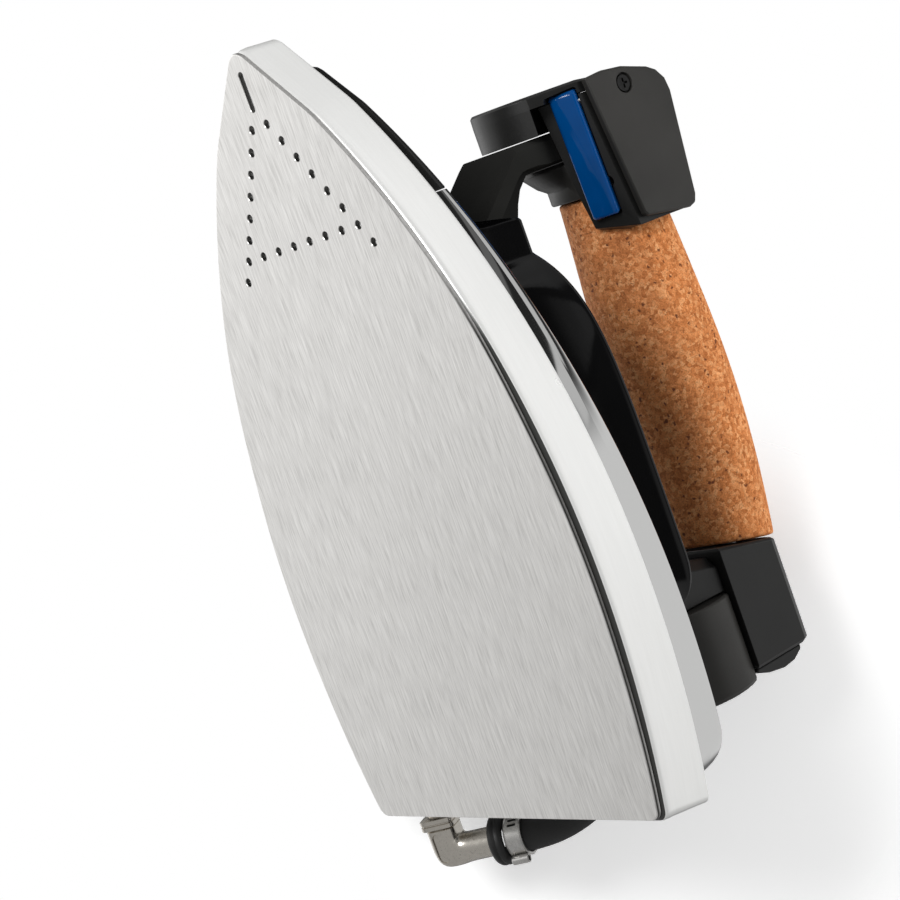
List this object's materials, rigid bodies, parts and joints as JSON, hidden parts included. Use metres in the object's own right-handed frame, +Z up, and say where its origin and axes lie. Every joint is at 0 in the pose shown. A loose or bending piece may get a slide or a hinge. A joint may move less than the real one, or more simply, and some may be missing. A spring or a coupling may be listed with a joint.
{
  "type": "clothes iron",
  "caption": "Professional steam iron: pointed steel sole with steam holes, chrome cover, black heat shield, cork handle with a blue steam trigger beside it, and a side-fed steam hose.",
  "frame": {"origin": "on the sole face, under the middle of the overall length and width", "axes": "+X is the iron's left side (the side with the steam trigger), +Y runs from the tip to the heel, +Z is up from the sole"},
  "size_m": [0.133, 0.2324, 0.1227],
  "materials": {
    "sole_steel": "brushed along the length, satin",
    "sole_aluminium": "polished cast, satin",
    "cast_aluminium": "raw casting",
    "chrome_cover": "mirror polished",
    "steel": "zinc plated",
    "dark_steel": "dark oxide",
    "brass": "machined",
    "nickel": "nickel plated",
    "black_enamel": "high gloss",
    "black_plastic": "fine satin, heat resistant",
    "grey_plastic": "fine matte",
    "blue_plastic": "gloss",
    "cork": "ground agglomerated cork, matte",
    "rubber": "matte",
    "hose_braid": "tight textile braid",
    "fibre": "pressed mineral fibre"
  },
  "bodies": {
    "iron": {"body_cover": "chrome_cover", "chamber_screw_1": "steel", "chamber_screw_2": "steel", "chamber_screw_3": "steel", "chamber_screw_4": "steel", "cork_handle": "cork", "front_collar": "grey_plastic", "front_nut": "steel", "front_plate": "black_plastic", "front_post": "black_plastic", "front_washer": "steel", "gland_bush": "rubber", "handle_rod": "steel", "heat_shield": "black_enamel", "heating_element": "dark_steel", "hose_clamp_band": "steel", "hose_clamp_screw": "steel", "hose_end_ring": "rubber", "insulation_pad": "fibre", "microswitch_body": "black_plastic", "microswitch_screw_1": "steel", "microswitch_screw_2": "steel", "nose_cover": "black_enamel", "rear_cap": "black_plastic", "rear_gland": "black_plastic", "rear_housing": "black_plastic", "rear_pedestal": "black_plastic", "rear_washer": "steel", "shield_screw_1": "steel", "shield_screw_2": "steel", "shield_screw_3": "steel", "shield_screw_4": "steel", "sole_face_plate": "sole_steel", "soleplate_casting": "sole_aluminium", "steam_chamber_cover": "cast_aluminium", "steam_chamber_gasket": "fibre", "steam_hose": "hose_braid", "steam_inlet_elbow": "nickel", "steam_inlet_fitting": "brass", "switch_housing": "black_plastic", "switch_lid": "grey_plastic", "switch_lid_screw": "dark_steel", "terminal_block": "fibre", "thermal_fuse": "fibre", "thermostat_body": "steel", "trigger_pin": "steel", "trigger_spring": "steel"},
    "trigger": {"steam_trigger": "blue_plastic"},
    "switch_plunger": {"microswitch_plunger": "blue_plastic"},
    "heat_control": {"thermostat_knob": "black_plastic", "thermostat_shaft": "brass"}
  },
  "joints": [
    {"name": "trigger_press", "type": "hinge", "parent": "iron", "child": "trigger", "pos_m": [0.01312, -0.07548, 0.09012], "axis": [0.8438, 0, 0.5367], "range_deg": [0, 3], "stiffness_Nm_per_rad": 0.6, "deforming": ["trigger_spring"]},
    {"name": "plunger_slide", "type": "slide", "parent": "iron", "child": "switch_plunger", "axis": [0, 0, 1], "range_m": [0, 0.0008]},
    {"name": "heat_control_turn", "type": "hinge", "parent": "iron", "child": "heat_control", "pos_m": [0, 0.0238, 0.04], "axis": [0, 0, 1], "range_deg": [-270, 0]}
  ],
  "couplings": [
    {"joint": "plunger_slide", "follows": "trigger_press", "m_per_rad": 0.013}
  ]
}
